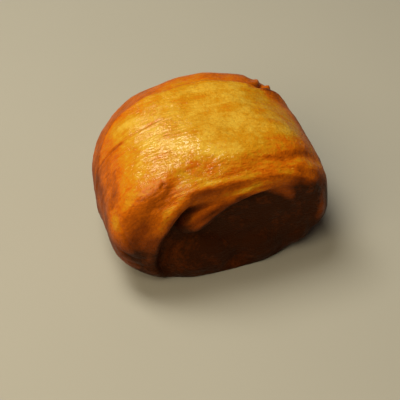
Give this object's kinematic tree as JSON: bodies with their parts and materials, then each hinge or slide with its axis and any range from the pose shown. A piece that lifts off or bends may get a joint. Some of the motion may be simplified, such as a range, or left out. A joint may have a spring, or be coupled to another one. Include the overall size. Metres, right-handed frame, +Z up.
{
  "type": "sweet bun",
  "caption": "Glazed sweet bun, a short fat roll of dough lying on its side, with a lip and groove round its front end, a step at the back and a flat baked base.",
  "frame": {"origin": "middle of the bun's footprint box, on the surface it rests on", "axes": "+Z up, -Y out of the open front end of the roll, +X to the right seen from the front, across the roll"},
  "size_m": [0.0886, 0.0702, 0.0557],
  "materials": {
    "crust": "satin"
  },
  "bodies": {
    "root": {"bun": "crust"}
  },
  "joints": []
}
